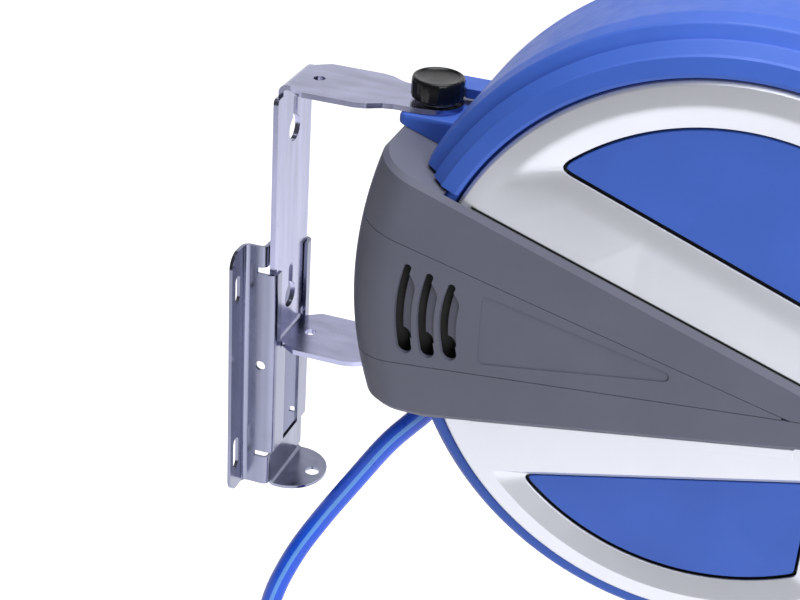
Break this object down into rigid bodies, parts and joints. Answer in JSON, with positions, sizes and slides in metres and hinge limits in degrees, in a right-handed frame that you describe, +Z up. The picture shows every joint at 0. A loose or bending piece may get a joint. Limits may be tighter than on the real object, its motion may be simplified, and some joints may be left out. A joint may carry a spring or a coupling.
{
  "type": "air hose reel",
  "caption": "Wall-mounted automatic air hose reel that swivels on a lift-off bracket, with a fluted clamp knob, a sprung drum and a roller outlet.",
  "frame": {"origin": "on the wall plane, at the centre of the wall bracket's back", "axes": "+X away from the wall along the reel, +Y along the drum's axle to the far side, +Z up"},
  "size_m": [0.4495, 0.132, 0.6378],
  "materials": {
    "zinc": "bright zinc plating on pressed sheet, slightly bluish",
    "steel": "bright plated steel",
    "brass": "turned brass",
    "blue_plastic": "satin moulded blue plastic",
    "silver_plastic": "silver paint on a moulded cover",
    "grey_plastic": "fine-grained dark grey plastic",
    "black_plastic": "black moulded plastic",
    "black_rubber": "soft black rubber",
    "hose": "smooth saturated blue hose"
  },
  "bodies": {
    "wall": {"wall_bracket": "zinc"},
    "bracket": {"swivel_bracket": "zinc"},
    "reel": {"knob_stud": "steel", "knob_washer": "steel", "pivot_neck": "blue_plastic", "neck_nut": "steel", "lower_pivot_bush": "black_plastic", "lower_pivot_bolt": "steel", "lower_pivot_nut": "steel", "housing_near": "blue_plastic", "housing_far": "blue_plastic", "housing_bolt_1": "steel", "housing_bolt_2": "steel", "housing_bolt_3": "steel", "housing_bolt_4": "steel", "top_guard": "blue_plastic", "side_cover_near": "silver_plastic", "side_cover_far": "silver_plastic", "upper_inlay_near": "blue_plastic", "upper_inlay_far": "blue_plastic", "lower_inlay_near": "blue_plastic", "lower_inlay_far": "blue_plastic", "belt_upper": "grey_plastic", "belt_middle": "grey_plastic", "belt_lower": "grey_plastic", "vent_louvre_near": "black_plastic", "vent_louvre_far": "black_plastic", "outlet_guide": "grey_plastic", "roller_pin_upper": "steel", "roller_pin_lower": "steel", "drum_axle": "steel", "spring_arbor": "steel", "mainspring": "steel", "pawl_pin": "steel", "pawl_spring": "steel", "supply_pipe": "black_plastic", "supply_gland": "black_rubber", "supply_hose": "hose", "supply_hose_coil": "hose", "coil_tie": "black_rubber", "supply_plug": "brass"},
    "knob": {"clamp_knob": "black_plastic"},
    "drum": {"drum_barrel": "grey_plastic", "drum_flange_near": "grey_plastic", "drum_flange_far": "grey_plastic", "drum_bush_near": "black_plastic", "drum_bush_far": "black_plastic", "hose_winding": "hose", "spring_cup": "grey_plastic", "spring_cover": "grey_plastic", "ratchet_ring": "black_plastic", "rotary_air_joint": "brass", "barrel_elbow": "brass"},
    "pawl": {"pawl": "steel"},
    "roller_upper": {"outlet_roller_upper": "black_plastic"},
    "roller_lower": {"outlet_roller_lower": "black_plastic"}
  },
  "joints": [
    {"name": "bracket_lift", "type": "slide", "parent": "wall", "child": "bracket", "axis": [0, 0, 1], "range_m": [0, 0.052]},
    {"name": "reel_swivel", "type": "hinge", "parent": "bracket", "child": "reel", "pos_m": [0.099, 0, 0.0135], "axis": [0, 0, 1], "range_deg": [-70, 70]},
    {"name": "knob_turn", "type": "hinge", "parent": "reel", "child": "knob", "pos_m": [0.099, 0, 0.1758], "axis": [0, 0, 1], "continuous": true},
    {"name": "drum_spin", "type": "hinge", "parent": "reel", "child": "drum", "pos_m": [0.2694, 0, 0.0837], "axis": [0, 1, 0], "continuous": true},
    {"name": "pawl_swing", "type": "hinge", "parent": "reel", "child": "pawl", "pos_m": [0.2694, 0.0468, 0.1457], "axis": [0, 1, 0], "range_deg": [0, 40], "stiffness_Nm_per_rad": 0.004, "springref_deg": -28.65},
    {"name": "upper_roller_spin", "type": "hinge", "parent": "reel", "child": "roller_upper", "pos_m": [0.4349, 0, 0.00835], "axis": [0, 1, 0], "continuous": true},
    {"name": "lower_roller_spin", "type": "hinge", "parent": "reel", "child": "roller_lower", "pos_m": [0.4174, 0, -0.02196], "axis": [0, 1, 0], "continuous": true}
  ]
}
